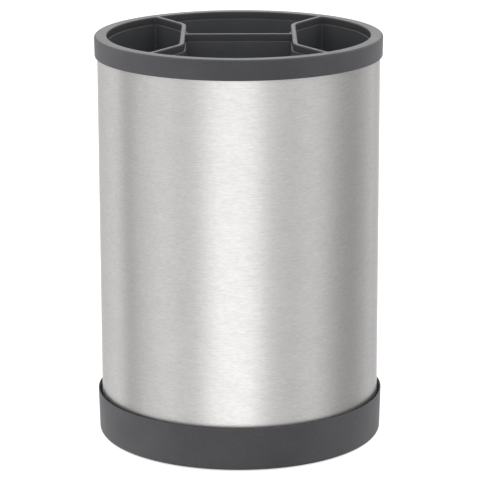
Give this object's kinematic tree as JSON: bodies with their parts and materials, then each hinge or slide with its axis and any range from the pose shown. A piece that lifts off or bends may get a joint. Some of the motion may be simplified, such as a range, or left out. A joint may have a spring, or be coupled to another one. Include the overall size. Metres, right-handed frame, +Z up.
{
  "type": "utensil holder",
  "caption": "Round kitchen utensil holder: brushed steel sleeve on a moulded base, with a lift-out divided insert whose rim hangs on the sleeve.",
  "frame": {"origin": "centre of the circle on which the four pads stand, on the surface that carries the holder", "axes": "+Z up along the sleeve's axis; the front faces -Y, and the middle divider runs along X"},
  "size_m": [0.131, 0.131, 0.1853],
  "materials": {
    "brushed_stainless": "brushed round the sleeve, satin",
    "charcoal_plastic": "fine satin moulding texture",
    "pad_rubber": "matt"
  },
  "bodies": {
    "stand": {"base_tray": "charcoal_plastic", "pad_1": "pad_rubber", "pad_2": "pad_rubber", "pad_3": "pad_rubber", "pad_4": "pad_rubber", "steel_sleeve": "brushed_stainless"},
    "insert": {"rim_frame": "charcoal_plastic", "cell_liner": "charcoal_plastic"}
  },
  "joints": [
    {"name": "insert_lift", "type": "slide", "parent": "stand", "child": "insert", "axis": [0, 0, 1], "range_m": [0, 0.18]}
  ]
}
